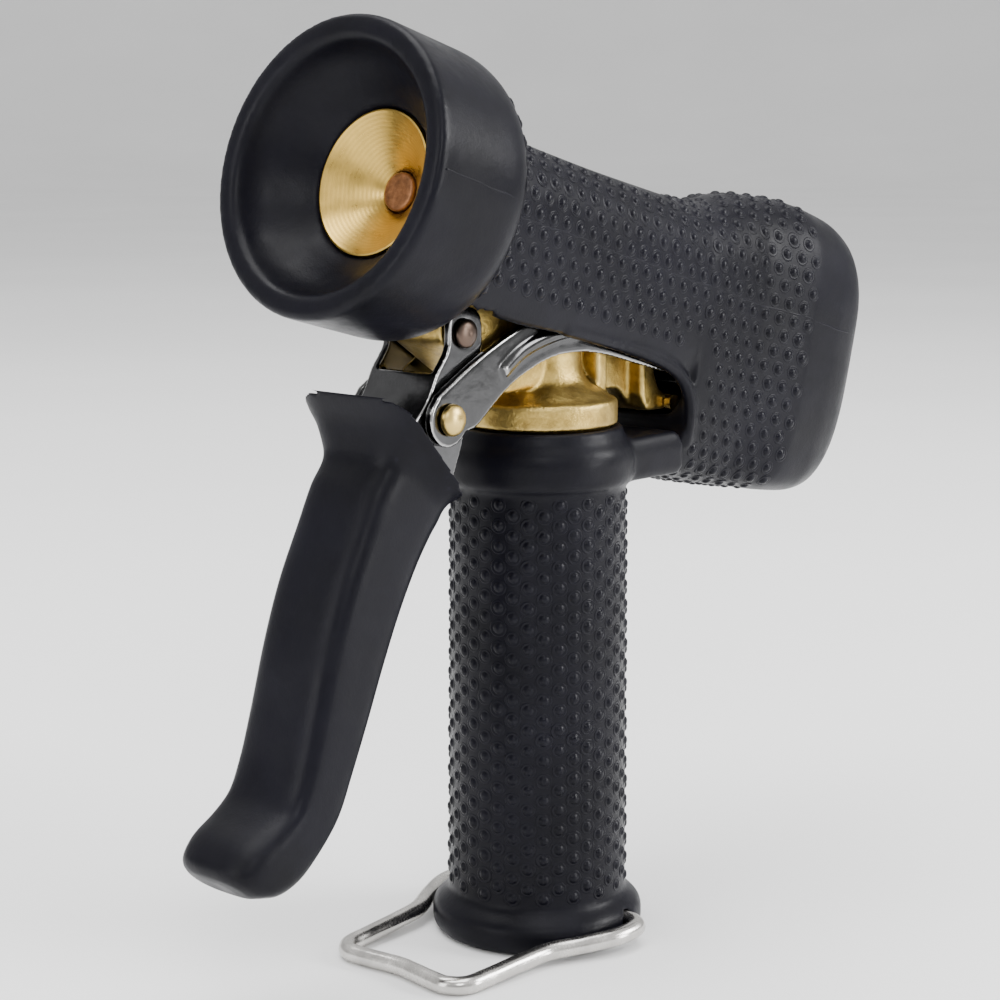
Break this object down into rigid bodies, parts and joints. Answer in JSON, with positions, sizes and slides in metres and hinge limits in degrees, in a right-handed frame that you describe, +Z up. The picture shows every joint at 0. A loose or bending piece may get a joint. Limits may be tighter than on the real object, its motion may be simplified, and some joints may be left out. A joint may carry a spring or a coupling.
{
  "type": "hose spray nozzle",
  "caption": "Heavy lever-operated hose spray gun: brass valve in a black rubber cover, front lever on a steel link, wire bail on the grip's foot.",
  "frame": {"origin": "centre of the bounding box in X and Y, at the foot of the grip, where the gun stands on its flange", "axes": "+Z up along the grip, -X towards the nozzle, +X towards the rear of the body, Y along the lever's pivot, with +Y on the gun's own left side seen from behind"},
  "size_m": [0.2026, 0.062, 0.2025],
  "materials": {
    "rubber": "satin moulded rubber with raised nubs",
    "plated_steel": "bright plated",
    "polished_steel": "polished",
    "cast_brass": "sand cast, lightly tarnished",
    "turned_brass": "turned",
    "copper": "dull copper",
    "seal": "matte"
  },
  "bodies": {
    "body": {"body_cover": "rubber", "grip_sleeve": "rubber", "valve_body": "cast_brass", "nozzle_insert": "turned_brass", "seat_washer": "seal", "pivot_pin": "plated_steel", "gland_nut": "turned_brass", "gland_packing": "seal", "spring_washer": "plated_steel", "return_spring": "plated_steel", "cover_screw": "turned_brass", "inlet_tube": "turned_brass", "inlet_bush": "turned_brass", "hose_washer": "seal"},
    "trigger": {"trigger_cover": "rubber", "trigger_channel": "plated_steel"},
    "stem": {"link_yoke": "polished_steel", "link_pin": "turned_brass", "valve_stem": "plated_steel", "valve_plug": "turned_brass", "spindle_tip": "copper", "stem_nut": "plated_steel", "lock_nut": "plated_steel"},
    "bail": {"bail": "plated_steel"}
  },
  "joints": [
    {"name": "trigger_pivot", "type": "hinge", "parent": "body", "child": "trigger", "pos_m": [-0.0372, 0, 0.1383], "axis": [0, -1, 0], "range_deg": [0, 27], "stiffness_Nm_per_rad": 3, "springref_deg": -28.65},
    {"name": "stem_slide", "type": "slide", "parent": "body", "child": "stem", "axis": [0.9646, 0, -0.2639], "range_m": [0, 0.0086], "deforming": ["return_spring"]},
    {"name": "bail_pivot", "type": "hinge", "parent": "body", "child": "bail", "pos_m": [0.0021, 0, 0.0045], "axis": [0, 1, 0], "range_deg": [-90, 14]}
  ],
  "couplings": [
    {"joint": "stem_slide", "follows": "trigger_pivot", "m_per_rad": 0.018045}
  ]
}
